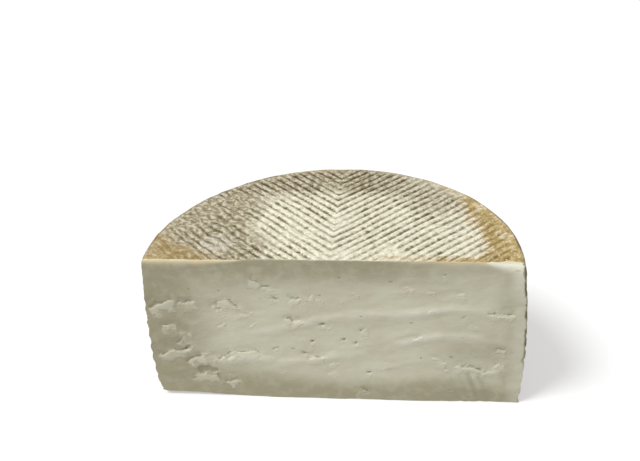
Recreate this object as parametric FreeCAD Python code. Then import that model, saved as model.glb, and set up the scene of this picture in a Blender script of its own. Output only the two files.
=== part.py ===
"""Half of a pressed sheep's milk cheese wheel, cut through its middle and resting on its flat base.

One solid, in millimetres: +Z up, the cut face towards -Y, and the origin under the middle of its box.
The side swells between a narrower top and base and carries the rounded bands of a plaited mould.
The top and the base carry the herringbone grooves of the press boards, inside a plain border.
The cut face has the small uneven openings of a pressed curd.
"""

import FreeCAD, Part
import math
import os

# The wheel
WHEEL_DIAMETER = 200.0  # across the widest band of the side
WHEEL_HEIGHT = 92.0
TOP_NARROWING = 4.0  # how far the side leans in from its widest band up to the top
BASE_NARROWING = 1.6  # and down to the base
WIDEST_HEIGHT = 36.0  # about how high the widest band lies
RIM_RADIUS = 5.0  # the rounded edge between the side and each flat face

# The bands of the plaited mould, round the side
BAND_HEIGHT = 8.2
BAND_RELIEF = 0.9  # from a band's crown down to the notch between two bands

# The herringbone of the press boards, on the top and the base
GROOVE_PITCH = 4.4  # from one groove to the next, square to them
GROOVE_WIDTH = 1.7
GROOVE_DEPTH = 0.9
GROOVE_ANGLE = 45.0  # degrees between a groove and the cut face
BOARD_BORDER = 5.0  # the plain ring between the grooves' ends and the rounded rim

# The openings in the cut face. Each has its place across the half width and up the height as shares,
# its length and height, and its tilt in degrees.
OPENING_SINK = 0.25  # how far behind the face an opening's middle lies, as a share of its half height
OPENING_FLOOR = 70.0  # how far round from its middle, in degrees, an opening ends in a small flat floor
OPENINGS = [
    (-0.74, 0.17, 9.0, 4.4, 8.0),
    (-0.59, 0.62, 6.0, 1.8, 16.0),
    (-0.81, 0.36, 4.5, 1.8, 30.0),
    (-0.34, 0.77, 7.0, 2.0, -6.0),
    (-0.29, 0.69, 4.0, 1.7, -25.0),
    (-0.07, 0.52, 5.0, 1.8, 14.0),
    (-0.13, 0.40, 3.0, 2.4, 0.0),
    (-0.33, 0.35, 6.0, 1.8, 12.0),
    (-0.17, 0.32, 3.2, 1.6, -10.0),
    (0.06, 0.42, 2.2, 1.8, 0.0),
    (0.12, 0.39, 3.2, 1.5, 60.0),
    (0.18, 0.18, 4.0, 2.2, -20.0),
    (0.57, 0.86, 3.0, 1.4, 25.0),
    (0.68, 0.57, 3.6, 1.2, 0.0),
    (0.78, 0.22, 8.0, 1.8, 8.0),
]

# Worked out from the sizes above
WIDEST_RADIUS = WHEEL_DIAMETER / 2
CUT_Y = -WIDEST_RADIUS / 2  # the cut runs through the wheel's axis
BAND_COUNT = round((WHEEL_HEIGHT - 2 * RIM_RADIUS) / BAND_HEIGHT)
BAND_STEP = (WHEEL_HEIGHT - 2 * RIM_RADIUS) / BAND_COUNT
WIDEST_BAND = round((WIDEST_HEIGHT - RIM_RADIUS) / BAND_STEP - 0.5)


def crown_height(band):
    """The middle height of a band, counted from the base."""
    return RIM_RADIUS + (band + 0.5) * BAND_STEP


def crown_radius(z):
    """The radius over the bands' crowns at height z: widest at one band, leaning in above and below it."""
    widest_z = crown_height(WIDEST_BAND)
    if z > widest_z:
        return WIDEST_RADIUS - TOP_NARROWING * ((z - widest_z) / (WHEEL_HEIGHT - widest_z)) ** 2
    return WIDEST_RADIUS - BASE_NARROWING * ((widest_z - z) / widest_z) ** 2


def notch_radius(z):
    """The radius at the notch between two bands, or between a band and the rim."""
    return crown_radius(z) - BAND_RELIEF


def section_line(start, end):
    """A straight edge between two (radius, height) points of the wheel's section."""
    points = [FreeCAD.Vector(r, CUT_Y, z) for r, z in (start, end)]
    return Part.makeLine(*points)


def section_arc(start, middle, end):
    """An arc through three (radius, height) points of the wheel's section."""
    points = [FreeCAD.Vector(r, CUT_Y, z) for r, z in (start, middle, end)]
    return Part.Arc(*points).toShape()


def rim_arc(side_z, face_z):
    """The quarter round from the side at side_z in to the flat face at face_z."""
    outer = notch_radius(side_z)
    inner = outer - RIM_RADIUS
    diagonal = math.sin(math.pi / 4)
    middle = (inner + RIM_RADIUS * diagonal, side_z + (face_z - side_z) * diagonal)
    return section_arc((outer, side_z), middle, (inner, face_z))


def wheel_section():
    """The wheel's half section, from its axis out to the banded side and back."""
    notches = [RIM_RADIUS + band * BAND_STEP for band in range(BAND_COUNT + 1)]
    base_edge = (notch_radius(notches[0]) - RIM_RADIUS, 0)
    top_edge = (notch_radius(notches[-1]) - RIM_RADIUS, WHEEL_HEIGHT)
    edges = [section_line((0, 0), base_edge), rim_arc(notches[0], 0)]
    for band, (low_z, high_z) in enumerate(zip(notches, notches[1:])):
        crown_z = crown_height(band)
        crown = (crown_radius(crown_z), crown_z)
        edges.append(section_arc((notch_radius(low_z), low_z), crown, (notch_radius(high_z), high_z)))
    edges.append(rim_arc(notches[-1], WHEEL_HEIGHT))
    edges.append(section_line(top_edge, (0, WHEEL_HEIGHT)))
    edges.append(section_line((0, WHEEL_HEIGHT), (0, 0)))
    return Part.Face(Part.Wire(Part.__sortEdges__(edges)))


def groove_arm(apex_y, side, face_z, into):
    """The tool for one arm of a chevron groove, from the herringbone's spine out to the plain border.

    apex_y is measured from the cut, side is 1 for the right and -1 for the left, and into is the way into
    the cheese. An arm shorter than the groove is wide, or outside the half wheel, is left out.
    """
    angle = math.radians(GROOVE_ANGLE)
    reach = notch_radius(face_z + into * RIM_RADIUS) - RIM_RADIUS - BOARD_BORDER
    run = math.sqrt(max(reach**2 - (apex_y * math.cos(angle)) ** 2, 0)) - apex_y * math.sin(angle)
    if min(run, apex_y + run * math.sin(angle)) < GROOVE_WIDTH:
        return None
    proud = GROOVE_DEPTH / 2  # the tool stands this far out of the face, on the same two flanks
    half_width = GROOVE_WIDTH / 2 / math.cos(angle) * (1 + proud / GROOVE_DEPTH)
    y = CUT_Y + apex_y
    outside_z = face_z - into * proud
    corners = [
        FreeCAD.Vector(0, y - half_width, outside_z),
        FreeCAD.Vector(0, y + half_width, outside_z),
        FreeCAD.Vector(0, y, face_z + into * GROOVE_DEPTH),
    ]
    along = FreeCAD.Vector(side * run * math.cos(angle), run * math.sin(angle), 0)
    return Part.Face(Part.makePolygon(corners + corners[:1])).extrude(along)


def herringbone(face_z, into):
    """The tools for all the chevron grooves of one flat face, with their spine square to the cut."""
    step = GROOVE_PITCH / math.cos(math.radians(GROOVE_ANGLE))
    count = math.ceil(WIDEST_RADIUS / step)
    apexes = [(place + 0.5) * step for place in range(-count, count)]
    arms = [groove_arm(apex_y, side, face_z, into) for apex_y in apexes for side in (-1, 1)]
    return [arm for arm in arms if arm]


def opening(across, up, length, height, tilt):
    """The tool for one slit-like opening in the cut face: a stretched ball lying mostly behind the face."""
    inwards = FreeCAD.Vector(0, 1, 0)
    ball = Part.makeSphere(1, FreeCAD.Vector(0, 0, 0), inwards, -90, OPENING_FLOOR, 360)
    stretch = FreeCAD.Matrix()
    stretch.scale(length / 2, height / 2, height / 2)
    turn = FreeCAD.Matrix()
    turn.rotateY(-math.radians(tilt))
    place = FreeCAD.Matrix()
    place.move(FreeCAD.Vector(across * WIDEST_RADIUS, CUT_Y + OPENING_SINK * height / 2, up * WHEEL_HEIGHT))
    return ball.transformGeometry(place * turn * stretch)


def half_wheel():
    """The half wheel as one solid."""
    body = wheel_section().revolve(FreeCAD.Vector(0, CUT_Y, 0), FreeCAD.Vector(0, 0, 1), 180)
    body = body.removeSplitter()  # the two ends of the turn become the one cut face
    body = body.cut(herringbone(WHEEL_HEIGHT, -1))
    body = body.cut(herringbone(0, 1))
    body = body.cut([opening(*sizes) for sizes in OPENINGS])
    return body.Solids[0]


os.makedirs("parts", exist_ok=True)
cheese = half_wheel()
cheese.exportStep("parts/half_wheel.step")
print(f"half_wheel: valid {cheese.isValid()}, volume {cheese.Volume / 1e6:.4f} dm3")
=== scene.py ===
"""The looks of half a pressed cheese wheel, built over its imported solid.

In metres: +Z up, the cut face towards -Y, and the origin under the middle of its box.
"""

import math

import bmesh
import bpy
import numpy as np
from mathutils import Matrix, Vector


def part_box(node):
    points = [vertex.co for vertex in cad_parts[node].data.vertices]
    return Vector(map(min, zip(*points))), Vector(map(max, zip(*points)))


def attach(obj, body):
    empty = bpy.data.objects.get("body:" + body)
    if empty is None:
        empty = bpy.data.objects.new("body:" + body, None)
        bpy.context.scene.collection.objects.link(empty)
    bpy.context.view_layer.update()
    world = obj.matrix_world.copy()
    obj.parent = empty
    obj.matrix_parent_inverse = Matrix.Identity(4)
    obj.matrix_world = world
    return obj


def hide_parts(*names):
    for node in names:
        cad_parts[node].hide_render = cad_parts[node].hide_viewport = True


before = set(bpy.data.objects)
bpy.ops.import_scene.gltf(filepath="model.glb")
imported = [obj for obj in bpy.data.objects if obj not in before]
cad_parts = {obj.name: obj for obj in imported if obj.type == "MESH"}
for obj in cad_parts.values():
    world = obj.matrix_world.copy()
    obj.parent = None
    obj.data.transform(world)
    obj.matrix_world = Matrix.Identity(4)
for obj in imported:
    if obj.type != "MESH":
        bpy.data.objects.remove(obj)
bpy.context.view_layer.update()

# ------------------------------------------------------------------------------------------------------------
# The half wheel: one block of sheep's milk curd, pressed in a plaited band between two herringbone boards,
# ripened, and cut through its middle with a knife. Its mesh starts as a sheet of squares, is drawn up into a
# block and bent into a half round, and then takes the prints of the mould and the marks of the knife.

MM = 0.001
BAND_COUNT = 10
CELLS_PER_BAND = 10
RIM_CELLS = 6
CELLS_UP = 2 * RIM_CELLS + BAND_COUNT * CELLS_PER_BAND
CELLS_ACROSS = 126  # squares across the base; the cut face and the top have twice as many
CELLS_DEEP = CELLS_ACROSS // 2
RIND, PASTE = 0, 1  # the mesh's two materials, in their order
NEARLY = 1e-4  # how far from a face of the block a point still counts as on it

low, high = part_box("half_wheel")
WIDEST_RADIUS = (high.x - low.x) / 2
HEIGHT = high.z - low.z
CUT_Y = low.y
WIDEST_Z = 0.39 * HEIGHT
TOP_NARROWING = 3.4 * MM
BASE_NARROWING = 1.6 * MM
BACK_FULLNESS = 1.0 * MM  # how much further out the top stands behind than at the two ends of the cut
RIM_RADIUS = 5.0 * MM
TOP_RIM_RADIUS = 2.2 * MM


def block_grid():
    """A closed block of squares, 2 across, 1 deep and 1 high, with its cut at y = 0 and its base at z = 0."""
    grid = bmesh.new()
    bmesh.ops.create_grid(grid, x_segments=CELLS_ACROSS, y_segments=CELLS_DEEP, size=1)
    bmesh.ops.translate(grid, vec=(0, 1, 0), verts=grid.verts)
    bmesh.ops.scale(grid, vec=(1, 0.5, 1), verts=grid.verts)
    drawn = bmesh.ops.extrude_face_region(grid, geom=grid.faces[:])
    raised = [vert for vert in drawn["geom"] if isinstance(vert, bmesh.types.BMVert)]
    bmesh.ops.translate(grid, vec=(0, 0, 1), verts=raised)
    upright = [edge for edge in grid.edges if edge.verts[0].co.z != edge.verts[1].co.z]
    bmesh.ops.subdivide_edges(grid, edges=upright, cuts=CELLS_UP - 1, use_grid_fill=True)
    fine = []
    for edge in grid.edges:
        start, end = (vert.co for vert in edge.verts)
        along_the_cut = max(start.y, end.y) < NEARLY and abs(start.z - end.z) < NEARLY
        if along_the_cut or min(start.z, end.z) > 1 - NEARLY:
            fine.append(edge)
    bmesh.ops.subdivide_edges(grid, edges=fine, cuts=1, use_grid_fill=True, use_single_edge=True)
    for face in grid.faces:
        face.smooth = True
        face.material_index = PASTE if all(vert.co.y < NEARLY for vert in face.verts) else RIND
    for edge in grid.edges:
        middle = (edge.verts[0].co + edge.verts[1].co) / 2
        cut_by_the_knife = middle.y < NEARLY and (abs(middle.x) > 1 - NEARLY or middle.z < NEARLY)
        edge.smooth = not cut_by_the_knife
    return grid


def soft_step(start, end, values):
    """0 before start, 1 after end, and a soft ramp between them. start may be the larger."""
    share = np.clip((values - start) / (end - start), 0, 1)
    return share * share * (3 - 2 * share)


def drift(places, size, seed):
    """Smooth random values from -1 to 1 that change over about this size, one number or one for each axis."""
    side = 64
    off_planes = 7.3  # keeps the cut and the base from lying in a plane of the lattice
    lattice = np.random.default_rng(seed).uniform(-1, 1, (side, side, side))
    scaled = places / size + off_planes
    whole = np.floor(scaled).astype(int)
    share = soft_step(0, 1, scaled - whole)
    value = np.zeros(len(places))
    for corner in np.ndindex(2, 2, 2):
        weight = np.prod(np.where(corner, share, 1 - share), axis=1)
        value += weight * lattice[tuple(((whole + corner) % side).T)]
    return value


def rough(places, size, seed):
    """drift at three sizes, each half of the last and weaker: an uneven, broken field.

    Where one size serves all three axes, it is turned askew, so that none of them shows in it.
    """
    if np.ndim(size) == 0:
        places = places @ np.array(Matrix.Rotation(0.5, 3, Vector((1, 1, 1))))
    return sum(drift(places, np.asarray(size) / 2**i, seed + 31 * i) * 0.6**i for i in range(3))


def side_radius(z):
    """The radius over the bands' crowns, widest a little below the middle."""
    above = np.clip((z - WIDEST_Z) / (HEIGHT - WIDEST_Z), 0, 1)
    below = np.clip((WIDEST_Z - z) / WIDEST_Z, 0, 1)
    return WIDEST_RADIUS - TOP_NARROWING * above**1.5 - BASE_NARROWING * below**2


def rounded(out, up, radius):
    """Rolls a sharp edge into a quarter round. out and up are the distances inside the two walls it joins."""
    short_out = np.maximum(radius - out, 0)
    short_up = np.maximum(radius - up, 0)
    share = np.maximum(short_out, short_up) / np.maximum(np.hypot(short_out, short_up), 1e-9)
    out = np.where(short_out > 0, radius - short_out * share, out)
    up = np.where(short_up > 0, radius - short_up * share, up)
    return out, up


grid = block_grid()
cheese_mesh = bpy.data.meshes.new("half_wheel_look")
grid.to_mesh(cheese_mesh)
grid.free()
block = np.zeros(len(cheese_mesh.vertices) * 3)
cheese_mesh.vertices.foreach_get("co", block)
block_x, block_y, block_z = block.reshape(-1, 3).T
on_top = block_z > 1 - NEARLY
on_base = block_z < NEARLY
on_cut = block_y < NEARLY
on_boards = on_top | on_base

# The block bent into a plain half round. disc_x and disc_y are shares of the radius, to the right and back
# from the cut. turned is the way round in degrees, 0 at the cut's right end and 180 at its left end.
rows = [0, RIM_CELLS, CELLS_UP - RIM_CELLS, CELLS_UP]
plain_z = np.interp(block_z * CELLS_UP, rows, [0, RIM_RADIUS, HEIGHT - RIM_RADIUS, HEIGHT])
disc_x = block_x * np.sqrt(1 - block_y**2 / 2)
disc_y = block_y * np.sqrt(1 - block_x**2 / 2)
angle = np.arctan2(disc_y, disc_x)
turned = np.degrees(angle)
fuller_back = soft_step(8, 26, turned) * soft_step(182, 160, turned) - 0.3 * soft_step(14, 4, turned)
plain_radius = side_radius(plain_z) + BACK_FULLNESS * block_z**3 * fuller_back
plain_x = disc_x * plain_radius
plain_y = disc_y * plain_radius
plain = np.column_stack([plain_x, plain_y, plain_z])
from_axis = np.hypot(plain_x, plain_y)
from_top = HEIGHT - plain_z
out = plain_radius - from_axis

# The rounded rims of the top and the base. The base's is sharper towards the right.
top_rim = TOP_RIM_RADIUS * (1 + 0.3 * drift(plain, 30 * MM, 3))
base_rim = RIM_RADIUS * (1 - 0.85 * soft_step(-0.2, 0.9, disc_x) + 0.2 * drift(plain, 25 * MM, 4))
inside, down = rounded(out, from_top, top_rim)
inside, z = rounded(inside, HEIGHT - down, base_rim)
radius = plain_radius - inside

# The prints of the boards and of the plaited band, as a place across the ridges, counted in ridges, a place
# along them, and how clearly they are printed. The herringbone's spine runs back from the middle of the cut,
# and the band's strokes turn the other way in each row. The boards' print is messy and rubbed at the left.
PRINT_PITCH = 4.4 * MM
PRINT_DEPTH = 1.3 * MM
STROKE_DEPTH = 0.6 * MM
BAND_HEIGHT = (HEIGHT - 2 * RIM_RADIUS) / BAND_COUNT
BAND_DEPTH = 0.8 * MM
LUMP_DEPTH = 0.2 * MM
CRUMBLED_DEPTH = 0.3 * MM  # how deep the top crumbles at the left
PRINT_FADE = 4 * MM  # how far in from the side or the top the points still move with its prints

band_up = np.clip((plain_z - RIM_RADIUS) / BAND_HEIGHT, 0, BAND_COUNT)
in_band = 2 * (band_up % 1) - 1
turn_back = (1 - np.abs(band_up % 2 - 1)) * BAND_HEIGHT
round_side = WIDEST_RADIUS * (math.pi / 2 - angle)
along_spine = np.where(on_boards, plain_y, round_side)
off_spine = np.where(on_boards, np.abs(plain_x), turn_back)
to_left = soft_step(-0.25, -0.75, disc_x)
across = (along_spine - off_spine) / math.sqrt(2) / PRINT_PITCH
across = across + 0.14 * drift(plain, 18 * MM, 11) + 0.5 * to_left * drift(plain, 8 * MM, 12)
along = (along_spine + off_spine) / math.sqrt(2)

border_width = (1.5 + 3.0 * soft_step(60, 30, turned)) * MM
border = soft_step(border_width, border_width + 5 * MM, out + 3 * MM * drift(plain, 7 * MM, 13))
worn_reach = 1.5 * MM * soft_step(0.70, 0.98, disc_x) - 1.0 * MM * drift(plain, 6 * MM, 28)
worn_off = soft_step(1.5 * MM, -1.5 * MM, plain_y - worn_reach) * soft_step(0.72, 0.88, disc_x) * on_top
near_cut = 0.3 * soft_step(24 * MM, 4 * MM, plain_y)
near_cut = near_cut * soft_step(-0.05, 0.1, disc_x) * soft_step(0.5, 0.3, disc_x)
board_print = border * (1 - worn_off) * (1 - near_cut) * soft_step(-1.5 * MM, 2.5 * MM, plain_y)
least_print = 0.35 + 0.4 * soft_step(0.35, 0.6, disc_x)
even_print = soft_step(-1.0, 0.2, rough(plain, 12 * MM, 14) - 0.3 * to_left)
board_print *= least_print + (1 - least_print) * even_print
rubbed = 0.3 + 0.4 * soft_step(-0.2, 0.8, rough(plain, 7 * MM, 36))
board_print *= 1 - soft_step(-0.5, -0.9, disc_x) * rubbed
band_print = soft_step(-1.2, 0.3, rough(plain, 14 * MM, 15)) * soft_step(1.0, 0.6, np.abs(in_band))
printed = np.where(on_boards, board_print, band_print)

ridge_height = np.sqrt(1 - (2 * (across - np.round(across))) ** 2)
top_sink = 0.35 * PRINT_DEPTH * (1 - worn_off) + PRINT_DEPTH * (0.65 - ridge_height) * printed * on_top
top_sink += LUMP_DEPTH * (1.5 - rough(plain, 12 * MM, 16))
top_sink += CRUMBLED_DEPTH * to_left * (1 + rough(plain, 5 * MM, 17))
band_relief = BAND_DEPTH * (0.25 + 0.75 * soft_step(0.75, 0.35, block_z + 0.3 * drift(plain, 35 * MM, 19)))
side_sink = band_relief * in_band**2 + LUMP_DEPTH * (1.5 - rough(plain, 15 * MM, 18))
side_sink += STROKE_DEPTH * (1 - ridge_height) * printed * ~on_boards
radius = radius - side_sink * soft_step(PRINT_FADE, 0, out) * ~on_base
z = z - top_sink * soft_step(PRINT_FADE, 0, from_top)

# The cut face: the knife leaves long shallow waves, and the crumb opens in small slits and pits and tears
# away in ragged flakes, most of all towards the left. Each opening has its place across and up as shares,
# its length and height in millimetres, its tilt in degrees, and its depth in millimetres.
OPENINGS = [
    (-0.72, 0.19, 12.0, 7.5, 4, 1.0),
    (-0.60, 0.65, 5.0, 1.2, 16, 0.6),
    (-0.81, 0.35, 4.0, 1.4, 30, 0.6),
    (-0.34, 0.81, 6.0, 1.6, -6, 0.5),
    (-0.29, 0.73, 2.8, 1.2, -25, 1.0),
    (-0.06, 0.55, 4.2, 1.4, 14, 0.9),
    (-0.12, 0.43, 2.2, 1.7, 0, 1.2),
    (-0.31, 0.37, 4.5, 1.0, 12, 0.6),
    (-0.16, 0.34, 2.6, 1.2, -10, 1.0),
    (0.06, 0.45, 1.7, 1.3, 0, 1.2),
    (0.12, 0.42, 2.4, 1.1, 60, 0.9),
    (0.18, 0.20, 2.8, 1.4, -20, 0.8),
    (0.57, 0.90, 2.2, 0.9, 25, 0.5),
    (0.67, 0.62, 2.8, 0.8, 0, 0.8),
    (0.76, 0.25, 5.0, 1.0, 8, 0.4),
]
# Where the knife has torn flakes out, each leaves a shallow scoop that ends below in a ragged ledge. Their
# numbers are in the same order, for the middle of the ledge and the height of the scoop above it.
LEDGES = [
    (-0.90, 0.68, 17.0, 13.0, 20, 1.0),
    (-0.77, 0.69, 9.0, 5.0, 14, 0.8),
    (-0.59, 0.67, 12.0, 6.0, 24, 0.7),
    (-0.51, 0.68, 10.0, 5.0, -38, 0.7),
    (-0.47, 0.61, 6.0, 4.0, -40, 0.5),
    (-0.89, 0.51, 10.0, 7.0, 10, 0.7),
    (-0.80, 0.47, 8.0, 5.0, 2, 0.5),
    (-0.87, 0.33, 23.0, 12.0, 17, 1.1),
    (-0.83, 0.41, 8.0, 5.0, 40, 0.6),
    (-0.76, 0.27, 11.0, 6.0, 30, 0.9),
    (-0.71, 0.14, 12.0, 9.0, -6, 0.6),
    (-0.64, 0.12, 7.0, 5.0, -30, 0.6),
    (-0.56, 0.11, 9.0, 5.0, 20, 0.7),
    (-0.60, 0.30, 13.0, 6.0, 10, 0.6),
    (-0.47, 0.32, 15.0, 6.0, 0, 0.6),
    (-0.39, 0.84, 8.0, 4.0, -30, 0.6),
    (-0.30, 0.78, 8.0, 5.0, -10, 0.4),
    (-0.20, 0.72, 5.0, 4.0, 0, 0.6),
    (-0.13, 0.74, 6.0, 3.0, 0, 0.4),
    (-0.22, 0.57, 10.0, 6.0, -8, 1.1),
    (-0.04, 0.53, 5.0, 3.0, -10, 0.4),
    (-0.10, 0.32, 12.0, 5.0, 3, 0.9),
    (0.16, 0.51, 4.5, 2.5, 20, 0.7),
    (0.16, 0.06, 6.0, 4.0, -30, 0.6),
    (0.38, 0.81, 5.0, 3.0, 0, 0.4),
    (0.43, 0.47, 10.0, 5.0, 16, 0.5),
    (0.50, 0.66, 4.0, 4.0, 60, 0.4),
    (0.55, 0.30, 9.0, 4.0, -8, 0.4),
    (0.65, 0.77, 5.0, 3.0, 30, 0.5),
    (0.69, 0.26, 14.0, 7.0, -4, 0.5),
    (0.77, 0.24, 8.0, 6.0, -20, 0.6),
    (0.84, 0.26, 11.0, 7.0, 24, 0.6),
    (0.82, 0.63, 6.0, 5.0, 0, 0.7),
    (0.88, 0.64, 7.0, 6.0, 0, 0.9),
    (0.87, 0.38, 8.0, 4.0, -4, 0.5),
]
# Long low crests where the knife paused, raised a little and painted lighter as painted highlight. Each has
# its two ends, across and up as shares, and how far it bows up as a share of the height.
CRESTS = [
    (-0.52, 0.46, 0.82, 0.67, 0.06),
    (0.28, 0.41, 0.80, 0.47, 0.05),
    (-0.72, 0.28, -0.30, 0.29, 0.01),
    (-0.34, 0.27, 0.17, 0.35, 0.0),
]
SMALL_LEDGES = 20
KNIFE_STROKE = 19 * MM  # from one wave of the knife up to the next
WAVE_DEPTH = 0.3 * MM
CREST_HEIGHT = 0.4 * MM
UNEVEN_DEPTH = 0.15 * MM
STREAK_DEPTH = 0.45 * MM
SCOOP_DEPTH = 0.7 * MM  # of a ledge whose own depth is 1
ARRIS_RADIUS = 0.9 * MM
LEFT_WEAR = 3.8 * MM  # how much rounder the arris is worn at each end
RIGHT_WEAR = 7.6 * MM
LEFT_LIFT = 2.0 * MM
RAGGED_BASE = 0.25 * MM

# Small ledges are scattered over the face, most of them at the left, and each opening tears one below itself
chance = np.random.default_rng(44)
for _ in range(SMALL_LEDGES):
    share_x = chance.triangular(-0.97, -0.75, 0.95)
    share_z = chance.uniform(0.05, 0.85)
    length = chance.uniform(3, 9)
    height = chance.uniform(2, 5)
    tilt = chance.normal(4, 12)
    depth = chance.uniform(0.2, 0.4)
    LEDGES.append((share_x, share_z, length, height, tilt, depth))
for share_x, share_z, length, height, tilt, _ in OPENINGS:
    LEDGES.append((share_x, share_z - 0.4 * height * MM / HEIGHT, 1.2 * length, 1.5 * height, tilt, 0.3))

face_places = np.column_stack([plain_x, np.zeros(len(plain_x)), plain_z])
tear_x = 2.4 * drift(face_places, 7 * MM, 40) + 1.5 * drift(face_places, 2.4 * MM, 41)
tear_z = 2.6 * drift(face_places, 5.5 * MM, 42) + 1.6 * drift(face_places, 2.2 * MM, 49)


def from_middle(share_x, share_z, tilt, raggedness):
    """How far along and up each point lies from a tilted place on the cut, in millimetres of torn paste."""
    turn = math.radians(tilt)
    from_x = (plain_x - share_x * WIDEST_RADIUS) / MM + raggedness * tear_x
    from_z = (plain_z - share_z * HEIGHT) / MM + raggedness * tear_z
    far_along = from_x * math.cos(turn) + from_z * math.sin(turn)
    far_up = from_z * math.cos(turn) - from_x * math.sin(turn)
    return far_along, far_up


# How deep the openings hollow each point, and how many millimetres inside an opening's edge it lies
FAR_OUTSIDE = -9.0
hollow = np.zeros(len(plain_x))
in_opening = np.full(len(plain_x), FAR_OUTSIDE)
for share_x, share_z, length, height, tilt, depth in OPENINGS:
    far_along, far_up = from_middle(share_x, share_z, tilt, min(height / 4, 1.2))
    inside_edge = (1 - np.hypot(far_along / (length / 2), far_up / (height / 2))) * height / 2
    hollow = np.maximum(hollow, depth * soft_step(-0.2 * height, 0.3 * height, inside_edge))
    in_opening = np.maximum(in_opening, inside_edge)

# The scoop above each ledge, the pale flake that fades out below it, painted pale partly as highlight on the
# ledge, and the narrow crevice along it, whose darker colour is painted shade
scoop = np.zeros(len(plain_x))
flake = np.zeros(len(plain_x))
crevice = np.zeros(len(plain_x))
for share_x, share_z, length, height, tilt, depth in LEDGES:
    far_along, far_up = from_middle(share_x, share_z, tilt, 0.8)
    here = soft_step(0.55, 0.3, np.abs(far_along) / length) * depth
    scoop = np.maximum(scoop, here * soft_step(-0.5, 0.5, far_up) * soft_step(1, 0, far_up / height))
    flake = np.maximum(flake, here**0.5 * np.clip(1 + far_up / 10, 0, 1) * soft_step(0.5, -0.3, far_up))
    crevice = np.maximum(crevice, here * soft_step(-0.3, 0.4, far_up) * soft_step(1.8, 0.6, far_up))

crest = np.zeros(len(plain_x))
for start_x, start_z, end_x, end_z, bow in CRESTS:
    share = (plain_x / WIDEST_RADIUS - start_x) / (end_x - start_x)
    bowed = start_z + (end_z - start_z) * share + 4 * bow * share * (1 - share)
    from_line = (plain_z - bowed * HEIGHT) / MM + 1.6 * drift(face_places, 22 * MM, 39)
    ends = soft_step(-0.1, 0.2, share) * soft_step(1.1, 0.8, share)
    crest = np.maximum(crest, ends * soft_step(3.4, 0.0, from_line) * soft_step(-6.0, 0.0, from_line))
crest *= 0.92 + 0.3 * drift(face_places, np.array([9, 10, 30]) * MM, 50)

# The long waves of the knife, its streaks at the lower right, and the small unevenness of the crumb. The
# waves fade where the cut's lower edge stands full.
swing = 1.1 * drift(face_places, np.array([90, 50, 60]) * MM, 43) + 0.25 * drift(face_places, 25 * MM, 44)
stroke = (plain_z / KNIFE_STROKE + swing) % 1
waved = soft_step(-0.5, 0.5, drift(face_places, np.array([38, 50, 16]) * MM, 45))
wave = 4 * stroke * (1 - stroke) * waved
streak_here = soft_step(0.62, 0.70, disc_x) * soft_step(0.93, 0.88, disc_x) * soft_step(0.26, 0.17, block_z)
fanned = np.column_stack([plain_x + 0.35 * plain_z, np.zeros(len(plain_x)), plain_z])
streaks = streak_here * soft_step(-0.4, 0.6, drift(fanned, np.array([2.6, 10, 40]) * MM, 46))
uneven = 1.8 - rough(face_places, np.array([9, 10, 5]) * MM, 47)
full_base = soft_step(26 * MM, 0, plain_z) * soft_step(0.75, 0.3, np.abs(disc_x - 0.1))
waves = WAVE_DEPTH * wave + CREST_HEIGHT * (1 - crest) + UNEVEN_DEPTH * uneven
sink = waves * (1 - 0.8 * full_base) + STREAK_DEPTH * streaks + hollow * MM + SCOOP_DEPTH * scoop
behind = radius * np.sin(angle)
behind = np.where(on_cut, sink, behind + sink * soft_step(10 * MM, 0, behind))

# The top arris of the cut is worn round, more so at its two ends, and the base's left end lifts a little
arris = ARRIS_RADIUS + LEFT_WEAR * soft_step(-0.35, -0.68, disc_x)
arris += RIGHT_WEAR * soft_step(0.74, 0.97, disc_x)
behind, down = rounded(behind, HEIGHT - z, arris)
lift = LEFT_LIFT * soft_step(-0.45, -0.95, disc_x) * soft_step(60 * MM, 0, behind)
lift += RAGGED_BASE * (1.5 - rough(plain, 9 * MM, 48)) * soft_step(4 * MM, 0, behind)
z = HEIGHT - down + lift * soft_step(30 * MM, 0, HEIGHT - down)

shaped = np.column_stack([radius * np.cos(angle), CUT_Y + behind, z])
cheese_mesh.vertices.foreach_set("co", shaped.ravel())

# Where the surface has ripened: golden and brown towards the rim, dusky at the back and left, and spotted
# with white mould. The gold's edges are distances from the wheel's axis in millimetres.
wander = rough(plain, 24 * MM, 20)
patchy = rough(plain, 13 * MM, 38)
right_edge = 80 + 9 * soft_step(30, 38, turned) + 11 * soft_step(38, 62, turned)
right_edge -= 3 * soft_step(14, 4, turned)
left_edge = 97 + 9 * soft_step(130, 150, turned) - 40 * soft_step(158, 178, turned)
gold_edge = np.where(turned < 90, right_edge, left_edge) * MM
gold_fade = (9 + 8 * soft_step(140, 160, turned)) * MM
gold = 0.85 * soft_step(-gold_fade, 9 * MM, from_axis - gold_edge + 4 * MM * wander + 4 * MM * patchy)
front_gold = soft_step(9 * MM, 2 * MM, plain_y + 2 * MM * wander)
front_gold *= 0.5 * soft_step(0.1, 0.4, disc_x) + 0.5 * soft_step(0.5, 0.72, disc_x)
gold = np.maximum(gold, 0.9 * front_gold) * (1 - 0.1 * soft_step(90, 120, turned))
gold -= 0.12 * np.maximum(patchy, 0)
near_top = soft_step(9 * MM, 1 * MM, from_top + 4 * MM * wander)
gold = np.where(on_boards, gold, near_top * soft_step(35, 20, turned))

brown = soft_step(3.2 * MM, 0.6 * MM, out + 1.5 * MM * rough(plain, 8 * MM, 25))
rim_faded = 0.5 * soft_step(36, 48, turned) + 0.3 * soft_step(130, 150, turned)
brown *= 1 - rim_faded * soft_step(6 * MM, 2 * MM, from_top)
# A thin dark line along the top's outer rim: painted shade where the rim rounds away
rim_shade_line = soft_step(3.4 * MM, 0.6 * MM, out + from_top + 0.8 * MM * wander)
rim_shade_line *= soft_step(3, 10, turned) * soft_step(177, 170, turned)

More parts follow.
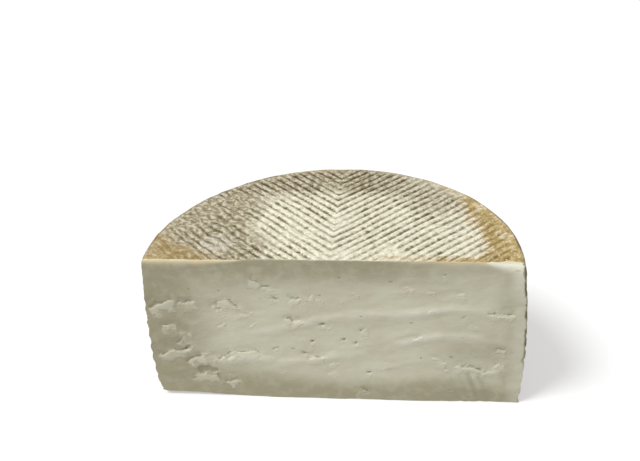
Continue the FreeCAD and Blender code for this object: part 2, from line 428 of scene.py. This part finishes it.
dusk_edge = (72 - 30 * soft_step(120, 165, turned)) * MM
dusk = soft_step(-16 * MM, 6 * MM, from_axis - dusk_edge + 7 * MM * rough(plain, 30 * MM, 21))
dusk = dusk * (0.6 * soft_step(32, 45, turned) + 0.4 * soft_step(58, 82, turned))

left_mould = soft_step(15 * MM, 6 * MM, np.hypot(plain_x + 60 * MM, plain_y - 15 * MM))
mould = soft_step(0.5, 1.2, rough(plain, 15 * MM, 22)) * soft_step(70 * MM, 85 * MM, from_axis)
mould = np.maximum(mould, 0.8 * left_mould)
side_mould = 0.85 * soft_step(-0.5, 1.1, rough(plain, 19 * MM, 26) + 0.6 * (1 - in_band**2) - 0.35)
mould = np.where(on_boards, mould, side_mould * soft_step(1 * MM, 6 * MM, from_top))

# The paste is riper towards the top, the base and the two ends, most of all at the left, and in a cloud at
# the right. Its worn arris is pale at the right and tanned at the left, and the strip along its right end is
# pale, all partly painted highlight; a thin dark crust edges the right end, partly painted shade of the side
# beyond.
to_right = soft_step(0.1, 0.8, disc_x)
base_fade = 9 * MM * soft_step(-0.5, 0.1, disc_x)
top_fade = (24 + 8 * soft_step(-0.15, -0.45, disc_x)) * MM
under_top = from_top + 5 * MM * drift(face_places, 40 * MM, 23)
over_base = plain_z + 5 * MM * drift(face_places, 35 * MM, 24)
ripe = np.maximum.reduce([
    soft_step(top_fade, 2 * MM, under_top) * (1 - 0.6 * to_right),
    soft_step(30 * MM - base_fade, 6 * MM, over_base),
    soft_step(46 * MM, 11 * MM, out + 400 * MM * soft_step(-0.2, 0.2, disc_x)),
    0.5 * soft_step(22 * MM, 6 * MM, out),
    0.24 * soft_step(0.35, 0.65, disc_x) * soft_step(0.75, 0.5, block_z),
    0.5 * soft_step(0.5, 0.66, disc_x) * soft_step(0.46, 0.43, block_z) * soft_step(0.24, 0.36, block_z),
])
worn = soft_step(1.3 * arris, 0.2 * arris, from_top + MM * drift(face_places, 6 * MM, 29))
worn *= soft_step(1.2 * MM, 3 * MM, arris)
pale_end = 0.3 + 0.3 * soft_step(26 * MM, 8 * MM, from_top)
pale_end *= soft_step(10.5 * MM, 3 * MM, out + MM * wander)
lip = np.where(disc_x > 0, np.maximum(worn, pale_end), 0)
lip = np.where(on_cut, lip, worn_off)
arris_line = 0.9 * soft_step(3.2 * MM, 1.0 * MM, from_top) * soft_step(0.25, 0.6, disc_x)
tanned = np.where(disc_x < 0, worn, arris_line * (1 - lip))
# A thin dark line down the right end of the cut: partly the rind's crust, partly painted shade of the side
# beyond
crust_and_shade_line = soft_step(1.6 * MM, 0.8 * MM, out + 0.8 * MM * rough(plain, 5 * MM, 27))
crust_and_shade_line = crust_and_shade_line * soft_step(0.2, 0.45, block_z) * (disc_x > 0) * on_cut


def add_marks(name, *columns):
    """Keeps three values for each point of the mesh, for the materials to read."""
    attribute = cheese_mesh.attributes.new(name, "FLOAT_VECTOR", "POINT")
    attribute.data.foreach_set("vector", np.column_stack(columns).ravel())


add_marks("print", across, along, printed)
add_marks("ripening", gold, dusk, mould)
add_marks("ground", brown, in_band**2 * ~on_boards, rim_shade_line)
add_marks("cut", ripe, lip, tanned)
add_marks("knife", crest, streaks, crust_and_shade_line)
add_marks("gouge", in_opening, flake, crevice)
cheese_mesh.update()
cheese = bpy.data.objects.new("half_wheel_look", cheese_mesh)
bpy.context.scene.collection.objects.link(cheese)
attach(cheese, "root")
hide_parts("half_wheel")

# The rind: the wheel's dry skin, curd that is pressed hard against the mould and then ripens in the air. It
# is cream on the ridges and olive grey in the grooves, gold and brown towards the rim, and grows white mould.
# A thin dark line along the top's rim is painted shade, and the worn corner by the cut is painted near white,
# partly as highlight.


def paint(red, green, blue):
    """A colour given as 0 to 255, in the linear light that Blender mixes."""
    return [((part / 255 + 0.055) / 1.055) ** 2.4 for part in (red, green, blue)] + [1]


# Where a name has two colours, the finish varies between them
CREAM = paint(214, 207, 178), paint(249, 245, 223)
OLIVE = paint(164, 156, 126), paint(104, 96, 66)
GREY = paint(142, 128, 97), paint(212, 204, 177)
GREY_GROOVE = paint(76, 63, 38)
AMBER = paint(169, 145, 92), paint(204, 181, 123)
AMBER_SPOT = paint(146, 120, 68)
AMBER_GROOVE = paint(138, 113, 60)
AMBER_DOT = paint(240, 223, 178)
AMBER_DUSK = paint(130, 112, 80)
BARK = paint(166, 142, 104), paint(208, 191, 154)
BARK_GROOVE = paint(120, 96, 64)
BARK_NOTCH = paint(126, 102, 69)
WARM = paint(198, 178, 142), paint(240, 223, 194)
WARM_DUSK = paint(172, 153, 118)
WARM_GROOVE = paint(130, 113, 80)
WHITE_MOULD = paint(196, 186, 164), paint(236, 230, 214)
WORN_RIND_AND_HIGHLIGHT = paint(236, 224, 190)
RIM_PAINTED_SHADE = paint(86, 71, 46), paint(144, 126, 94)

RIND_CURD = 1.2 * MM
DASH_LENGTH = 3.4 * MM
STRAND_LENGTH = 3.0 * MM
STRANDS_PER_RIDGE = 2.4
GROOVES_APART = 7.31  # how far apart in the noise two grooves take their dashes, so that they differ
RIND_RELIEF = 0.6 * MM


def add(tree, kind, inputs=None, **settings):
    """A shader node with its settings, and its inputs linked to sockets or given plain values."""
    made = tree.nodes.new("ShaderNode" + kind)
    for name, value in settings.items():
        setattr(made, name, value)
    for name, value in (inputs or {}).items():
        if isinstance(value, bpy.types.NodeSocket):
            tree.links.new(value, made.inputs[name])
        else:
            made.inputs[name].default_value = value
    return made


def calc(tree, operation, *values):
    """One step of arithmetic on sockets and numbers."""
    return add(tree, "Math", dict(enumerate(values)), operation=operation).outputs[0]


def ramp(tree, value, start, end, low_value=0.0, high_value=1.0):
    """A soft ramp from low_value at start to high_value at end."""
    inputs = {"Value": value, 1: start, 2: end, 3: low_value, 4: high_value}
    return add(tree, "MapRange", inputs, interpolation_type="SMOOTHSTEP").outputs[0]


def mixed(tree, share, one, other):
    """One colour passing into another."""
    return add(tree, "Mix", {0: share, 6: one, 7: other}, data_type="RGBA").outputs[2]


def coated(tree, colour, *coats):
    """A colour under some coats of others, each given with the share of it that covers."""
    for share, coat in coats:
        colour = mixed(tree, share, colour, coat)
    return colour


def swayed(tree, value, *pushes):
    """A value pushed up and down by random spots, each given with about the most that it pushes."""
    for spots, amount in pushes:
        value = calc(tree, "MULTIPLY_ADD", calc(tree, "SUBTRACT", spots, 0.5), 2 * amount, value)
    return value


def heaped(tree, *layers):
    """The sum of some layers, each given with its height."""
    total = 0.0
    for layer, height in layers:
        total = calc(tree, "MULTIPLY_ADD", layer, height, total)
    return total


def noise(tree, places, size, detail=3.0):
    """Soft random spots of about this size."""
    inputs = {"Vector": places, "Scale": 1 / size, "Detail": detail, "Roughness": 0.55}
    return add(tree, "TexNoise", inputs).outputs[0]


def split(tree, vector):
    """The three parts of a vector."""
    return add(tree, "SeparateXYZ", {0: vector}).outputs


def joined(tree, *parts):
    """A vector made of up to three parts."""
    return add(tree, "CombineXYZ", dict(enumerate(parts))).outputs[0]


def marks(tree, name):
    """The three values kept on the mesh under this name."""
    return split(tree, add(tree, "Attribute", attribute_name=name).outputs["Vector"])


def curd_group():
    """Pressed curd close up, for rind and paste: its fine grain, its pinholes and its loose pale flecks."""
    group = bpy.data.node_groups.new("curd", "ShaderNodeTree")
    group.interface.new_socket("Places", in_out="INPUT", socket_type="NodeSocketVector")
    group.interface.new_socket("Scale", in_out="INPUT", socket_type="NodeSocketFloat")
    for name in ("Grain", "Pinholes", "Flecks"):
        group.interface.new_socket(name, in_out="OUTPUT", socket_type="NodeSocketFloat")
    given = group.nodes.new("NodeGroupInput").outputs
    result = group.nodes.new("NodeGroupOutput").inputs
    grain_inputs = {"Vector": given["Places"], "Scale": given["Scale"], "Detail": 4.0}
    grain = add(group, "TexNoise", grain_inputs).outputs
    nudge = add(group, "VectorMath", {0: grain["Color"], 1: (2 * MM,) * 3}, operation="MULTIPLY").outputs[0]
    places = add(group, "VectorMath", {0: given["Places"], 1: nudge}, operation="ADD").outputs[0]
    # Cells four grains wide. Up to one in ten has a pinhole, and up to one in ten a fleck, in its middle.
    sparse = calc(group, "MULTIPLY", given["Scale"], 0.25)
    cells = add(group, "TexVoronoi", {"Vector": places, "Scale": sparse}).outputs
    chances = split(group, cells["Color"])
    for name, chance in (("Pinholes", chances[0]), ("Flecks", chances[1])):
        size = ramp(group, chance, 0.9, 1.02, 0.0, 0.28)
        spots = ramp(group, calc(group, "SUBTRACT", size, cells["Distance"]), 0.0, 0.1)
        group.links.new(spots, result[name])
    group.links.new(grain[0], result["Grain"])
    return group


def curd(tree, places, size):
    """The curd's grain, pinholes and flecks at this size."""
    made = add(tree, "Group", node_tree=curd_look)
    tree.links.new(places, made.inputs["Places"])
    made.inputs["Scale"].default_value = 1 / size
    return made.outputs


curd_look = curd_group()
rind = bpy.data.materials.new("rind")
rind.use_nodes = True
tree = rind.node_tree
shader = tree.nodes["Principled BSDF"]
where = add(tree, "TexCoord").outputs["Object"]
across_ridges, along_ridges, printed = marks(tree, "print")
gold, dusk, mould = marks(tree, "ripening")
brown, notch, rim_shade_line = marks(tree, "ground")
worn_off = marks(tree, "cut")[1]
grain = curd(tree, where, RIND_CURD)["Grain"]
spots = noise(tree, where, 6 * MM)
small_spots = noise(tree, where, 2.6 * MM)

# Each groove has its own dark dashes, and the ridges are lumpy with short strands
groove_number = calc(tree, "MULTIPLY", calc(tree, "FLOOR", across_ridges), GROOVES_APART)
dash_run = calc(tree, "DIVIDE", along_ridges, DASH_LENGTH)
dashes = noise(tree, joined(tree, dash_run, groove_number), 1.0, detail=2.0)
strand_run = calc(tree, "DIVIDE", along_ridges, STRAND_LENGTH)
strand_number = calc(tree, "MULTIPLY", across_ridges, STRANDS_PER_RIDGE)
strands = noise(tree, joined(tree, strand_run, strand_number), 1.0, detail=2.0)
off_crest = calc(tree, "PINGPONG", across_ridges, 0.5)
groove = ramp(tree, swayed(tree, off_crest, (dashes, 0.22), (grain, 0.22)), 0.20, 0.47)
groove = calc(tree, "MULTIPLY", groove, printed)

# The finishes of the rind, each over its ridges and grooves
cream = mixed(tree, ramp(tree, strands, 0.3, 0.65), *CREAM)
olive = mixed(tree, ramp(tree, dashes, 0.38, 0.65), *OLIVE)
fresh = mixed(tree, groove, cream, olive)
grey = mixed(tree, ramp(tree, strands, 0.38, 0.64), *GREY)
dull = mixed(tree, groove, grey, GREY_GROOVE)
golden = coated(
    tree,
    mixed(tree, ramp(tree, small_spots, 0.40, 0.60), *AMBER),
    (ramp(tree, spots, 0.50, 0.64, 0.0, 0.5), AMBER_SPOT),
    (ramp(tree, swayed(tree, groove, (grain, 0.3)), 0.1, 0.9, 0.0, 0.75), AMBER_GROOVE),
    (ramp(tree, swayed(tree, grain, (strands, 0.2)), 0.56, 0.70, 0.0, 0.85), AMBER_DOT),
    (calc(tree, "MULTIPLY", dusk, 0.36), AMBER_DUSK),
)
bark = coated(
    tree,
    mixed(tree, ramp(tree, strands, 0.36, 0.64), *BARK),
    (groove, BARK_GROOVE),
    (calc(tree, "MULTIPLY", notch, 0.45), BARK_NOTCH),
)
warm = coated(
    tree,
    mixed(tree, ramp(tree, strands, 0.35, 0.65), *WARM),
    (calc(tree, "MULTIPLY", dusk, 0.65), WARM_DUSK),
    (calc(tree, "MULTIPLY", groove, 0.9), WARM_GROOVE),
)
white = mixed(tree, ramp(tree, grain, 0.4, 0.62), *WHITE_MOULD)
rim_shade_colour = mixed(tree, ramp(tree, grain, 0.38, 0.62), *RIM_PAINTED_SHADE)

# How much of each finish shows
warm_share = ramp(tree, swayed(tree, gold, (spots, 0.3)), 0.0, 0.55, 0.0, 0.7)
warm_share = calc(tree, "MULTIPLY", warm_share, calc(tree, "MULTIPLY_ADD", dusk, -0.2, 1.0))
gold_here = swayed(tree, gold, (strands, -0.6), (spots, 0.5))
gold_here = calc(tree, "MULTIPLY_ADD", groove, 0.15, gold_here)
mould_here = ramp(tree, swayed(tree, mould, (strands, 0.5), (grain, 0.5)), 0.3, 1.05)
mould_here = calc(tree, "MULTIPLY", mould_here, calc(tree, "MULTIPLY_ADD", groove, -0.8, 0.85))
# painted shade along the top's rim
rim_shade_here = swayed(tree, rim_shade_line, (small_spots, 0.7), (strands, 0.4))
rim_shade_here = ramp(tree, rim_shade_here, 0.25, 0.95, 0.0, 0.85)
colour = coated(
    tree,
    fresh,
    (calc(tree, "MULTIPLY", dusk, 0.95), dull),
    (ramp(tree, swayed(tree, brown, (strands, 0.4), (spots, 0.3)), 0.25, 0.85), bark),
    (warm_share, warm),
    (ramp(tree, gold_here, 0.38, 0.85), golden),
    (mould_here, white),
    # the worn rind at the cut's right corner, painted near white, partly as highlight on the rounded lip
    (ramp(tree, swayed(tree, worn_off, (grain, 0.35)), 0.15, 0.95), WORN_RIND_AND_HIGHLIGHT),
    (rim_shade_here, rim_shade_colour),
)
tree.links.new(colour, shader.inputs["Base Color"])
tree.links.new(ramp(tree, grain, 0.3, 0.7, 0.7, 0.92), shader.inputs["Roughness"])
relief = heaped(tree, (groove, -0.6), (strands, 0.8), (grain, 0.9))
bump = add(tree, "Bump", {"Height": relief, "Distance": RIND_RELIEF, "Strength": 0.75})
tree.links.new(bump.outputs[0], shader.inputs["Normal"])
cheese_mesh.materials.append(rind)

# The cut paste: the firm inside of the cheese, pressed and ripened curd as the knife leaves it. It is pale
# ivory, duller towards the rind, with painted shade in the openings, pinholes, crevices and knife streaks and
# painted highlight on the knife's crests and, in part, on the torn flakes and the worn arris, and a waxy
# surface that is rough where it is torn.
IVORY = paint(214, 208, 184), paint(218, 216, 191)
RIPE_PASTE = paint(172, 165, 136)
CREST_PAINTED_HIGHLIGHT = paint(233, 231, 211)
STREAK_PAINTED_SHADE = paint(158, 152, 128)
TORN_FLAKE_AND_HIGHLIGHT = paint(227, 224, 203)
CREVICE_PAINTED_SHADE = paint(150, 142, 116)
WORN_PASTE_AND_HIGHLIGHT = paint(242, 241, 222)
TANNED_ARRIS_AND_HIGHLIGHT = paint(223, 207, 170)
CRUST_AND_PAINTED_SHADE = paint(98, 88, 60)
PINHOLE_PAINTED_SHADE = paint(146, 138, 111)
FLECK = paint(236, 232, 214)
OPENING_SHADE = paint(150, 142, 115)

PASTE_CURD = 1.3 * MM
PRESSED_FLAT = 1.8  # how many times as long as it is high the pressed curd is
PASTE_RELIEF = 1.0 * MM

paste = bpy.data.materials.new("cut_paste")
paste.use_nodes = True
tree = paste.node_tree
shader = tree.nodes["Principled BSDF"]
where = add(tree, "TexCoord").outputs["Object"]
ripe, lip, tanned = marks(tree, "cut")
crest, streaks, crust_and_shade_line = marks(tree, "knife")
in_opening, flake, crevice = marks(tree, "gouge")
flattened = add(tree, "Mapping", {"Vector": where, "Scale": (1.0, 1.0, PRESSED_FLAT)}).outputs[0]
fine = curd(tree, flattened, PASTE_CURD)
grain = fine["Grain"]
clouds = noise(tree, where, 26 * MM, detail=2.0)
ragged = noise(tree, flattened, 5 * MM, detail=5.0)
patches = noise(tree, where, 7 * MM)

flake = calc(tree, "MULTIPLY", flake, ramp(tree, patches, 0.36, 0.58, 0.7, 1.6))
flake = ramp(tree, swayed(tree, flake, (ragged, 0.45), (grain, 0.25)), 0.3, 0.95)
crevice = calc(tree, "MULTIPLY", crevice, ramp(tree, patches, 0.40, 0.62, 0.2, 1.3))
crevice = ramp(tree, swayed(tree, crevice, (grain, 0.3)), 0.25, 0.8)
open_here = ramp(tree, swayed(tree, in_opening, (grain, 1.0)), -0.1, 0.6)
ripe = calc(tree, "MULTIPLY", ripe, ramp(tree, patches, 0.35, 0.62, 0.82, 1.15))
crest = calc(tree, "MULTIPLY", crest, crest)
crest = calc(tree, "MULTIPLY", crest, ramp(tree, patches, 0.35, 0.6, 0.5, 0.85))
pinholes = calc(tree, "MULTIPLY", fine["Pinholes"], calc(tree, "MULTIPLY_ADD", lip, -0.45, 0.45))

colour = coated(
    tree,
    mixed(tree, ramp(tree, clouds, 0.38, 0.62), *IVORY),
    (ripe, RIPE_PASTE),
    # painted highlight along the knife's crests
    (crest, CREST_PAINTED_HIGHLIGHT),
    # painted shade in the knife's streaks at the lower right
    (calc(tree, "MULTIPLY", streaks, 0.5), STREAK_PAINTED_SHADE),
    # pale torn flakes below each ledge, partly painted highlight
    (calc(tree, "MULTIPLY", flake, 0.56), TORN_FLAKE_AND_HIGHLIGHT),
    # painted shade in the crevice along each ledge
    (calc(tree, "MULTIPLY", crevice, 0.6), CREVICE_PAINTED_SHADE),
    # the worn arris and right end strip, painted pale, partly as highlight on the rounding
    (lip, WORN_PASTE_AND_HIGHLIGHT),
    # the tanned arris line, partly painted highlight
    (tanned, TANNED_ARRIS_AND_HIGHLIGHT),
    # the crust line at the right end, partly painted shade
    (crust_and_shade_line, CRUST_AND_PAINTED_SHADE),
    # painted shade in the pinholes
    (pinholes, PINHOLE_PAINTED_SHADE),
    (calc(tree, "MULTIPLY", fine["Flecks"], 0.5), FLECK),
    (calc(tree, "MULTIPLY", open_here, 0.55), OPENING_SHADE),
)
tree.links.new(colour, shader.inputs["Base Color"])
tree.links.new(calc(tree, "MULTIPLY_ADD", flake, 0.3, 0.45), shader.inputs["Roughness"])
relief = heaped(
    tree,
    (crevice, -0.4),
    (flake, 0.25),
    (grain, 0.16),
    (ragged, 0.13),
    (pinholes, -0.9),
    (fine["Flecks"], 0.4),
    (open_here, -0.35),
)
bump = add(tree, "Bump", {"Height": relief, "Distance": PASTE_RELIEF, "Strength": 0.9})
tree.links.new(bump.outputs[0], shader.inputs["Normal"])
cheese_mesh.materials.append(paste)

# ------------------------------------------------------------------------------------------------------------
# The floor, the lamp and the camera. None of them is part of the cheese. The floor and the world look white
# to the camera, and light the cheese at a plain level.

FLOOR_REACH = 6.0  # from the middle of the floor to its edges
FLOOR_GREY = 0.6
FLOOR_GLOW = 0.45
WORLD_LIGHT = 0.42
LAMP_STRENGTH = 2.2
LAMP_SPREAD = math.radians(20)
LAMP_SIDE = Vector((-0.45, -0.25, 0.86))  # the way from the cheese to the lamp
CAMERA_LENS = 52.0
CAMERA_SENSOR = 36.0
CAMERA_TURN = math.radians(6.92)
CAMERA_TILT = math.radians(32.03)
CAMERA_ROLL = math.radians(-3.20)
CAMERA_DISTANCE = 0.49
CAMERA_TARGET = Vector((-8.2 * MM, CUT_Y + 34.3 * MM, HEIGHT - 4.5 * MM))


def seen(tree):
    """1 where the camera sees a thing, also in a reflection or through glass, and 0 where it only lights."""
    rays = add(tree, "LightPath").outputs
    either = calc(tree, "MAXIMUM", rays["Is Camera Ray"], rays["Is Glossy Ray"])
    return calc(tree, "MAXIMUM", either, rays["Is Transmission Ray"])


floor_grid = bmesh.new()
bmesh.ops.create_grid(floor_grid, x_segments=1, y_segments=1, size=FLOOR_REACH)
floor_mesh = bpy.data.meshes.new("floor")
floor_grid.to_mesh(floor_mesh)
floor_grid.free()
floor_material = bpy.data.materials.new("floor")
floor_material.use_nodes = True
tree = floor_material.node_tree
shader = tree.nodes["Principled BSDF"]
shader.inputs["Base Color"].default_value = (FLOOR_GREY, FLOOR_GREY, FLOOR_GREY, 1)
shader.inputs["Roughness"].default_value = 1
shader.inputs["Specular IOR Level"].default_value = 0
shader.inputs["Emission Color"].default_value = (1, 1, 1, 1)
tree.links.new(calc(tree, "MULTIPLY", seen(tree), FLOOR_GLOW), shader.inputs["Emission Strength"])
floor_mesh.materials.append(floor_material)
floor = bpy.data.objects.new("floor", floor_mesh)
bpy.context.scene.collection.objects.link(floor)

world = bpy.data.worlds.new("studio")
world.use_nodes = True
tree = world.node_tree
brightness = calc(tree, "MULTIPLY_ADD", seen(tree), 1 - WORLD_LIGHT, WORLD_LIGHT)
tree.nodes["Background"].inputs["Color"].default_value = (1, 1, 1, 1)
tree.links.new(brightness, tree.nodes["Background"].inputs["Strength"])
bpy.context.scene.world = world

lamp_data = bpy.data.lights.new("key", "SUN")
lamp_data.energy = LAMP_STRENGTH
lamp_data.angle = LAMP_SPREAD
lamp = bpy.data.objects.new("key", lamp_data)
lamp.matrix_world = LAMP_SIDE.to_track_quat("Z", "Y").to_matrix().to_4x4()
bpy.context.scene.collection.objects.link(lamp)

camera_data = bpy.data.cameras.new("camera")
camera_data.lens = CAMERA_LENS
camera_data.sensor_width = CAMERA_SENSOR
camera = bpy.data.objects.new("camera", camera_data)
level = Vector((math.sin(CAMERA_TURN), -math.cos(CAMERA_TURN), 0))
back = level * math.cos(CAMERA_TILT) + Vector((0, 0, math.sin(CAMERA_TILT)))
looking = back.to_track_quat("Z", "Y").to_matrix().to_4x4()
rolled = looking @ Matrix.Rotation(CAMERA_ROLL, 4, "Z")
camera.matrix_world = Matrix.Translation(CAMERA_TARGET + CAMERA_DISTANCE * back) @ rolled
bpy.context.scene.collection.objects.link(camera)
bpy.context.scene.camera = camera
bpy.context.scene.view_settings.view_transform = "Standard"
